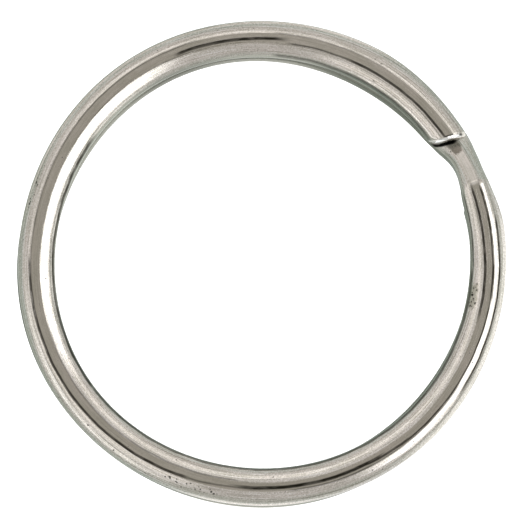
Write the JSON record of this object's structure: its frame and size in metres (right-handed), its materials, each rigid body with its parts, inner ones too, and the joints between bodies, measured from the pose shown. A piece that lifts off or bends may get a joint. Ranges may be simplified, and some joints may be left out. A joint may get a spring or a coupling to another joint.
{
  "type": "split key ring",
  "caption": "Round split ring of flattened wire: two coils lying face to face, joined by a short offset crossover, with rounded free ends that spring apart.",
  "frame": {"origin": "the ring's centre, on the plane where the two coils meet", "axes": "+Z along the ring's axis towards the front coil, -Y towards the crossover where the wire passes from the front coil to the back one, +X to the side where the free half of the front coil lies on top"},
  "size_m": [0.032, 0.0319, 0.0028],
  "materials": {
    "nickel_plated_wire": "satin"
  },
  "bodies": {
    "root": {"crossover": "nickel_plated_wire", "front_coil_fixed_half": "nickel_plated_wire", "back_coil_fixed_half": "nickel_plated_wire"},
    "front_leaf": {"front_coil_free_half": "nickel_plated_wire"},
    "back_leaf": {"back_coil_free_half": "nickel_plated_wire"}
  },
  "joints": [
    {"name": "front_coil_opening", "type": "hinge", "parent": "root", "child": "front_leaf", "pos_m": [0, 0.0157, 0], "axis": [-1, 0, 0], "range_deg": [0, 7], "stiffness_Nm_per_rad": 1.9},
    {"name": "back_coil_opening", "type": "hinge", "parent": "root", "child": "back_leaf", "pos_m": [0, 0.0157, 0], "axis": [1, 0, 0], "range_deg": [0, 7], "stiffness_Nm_per_rad": 1.9}
  ]
}
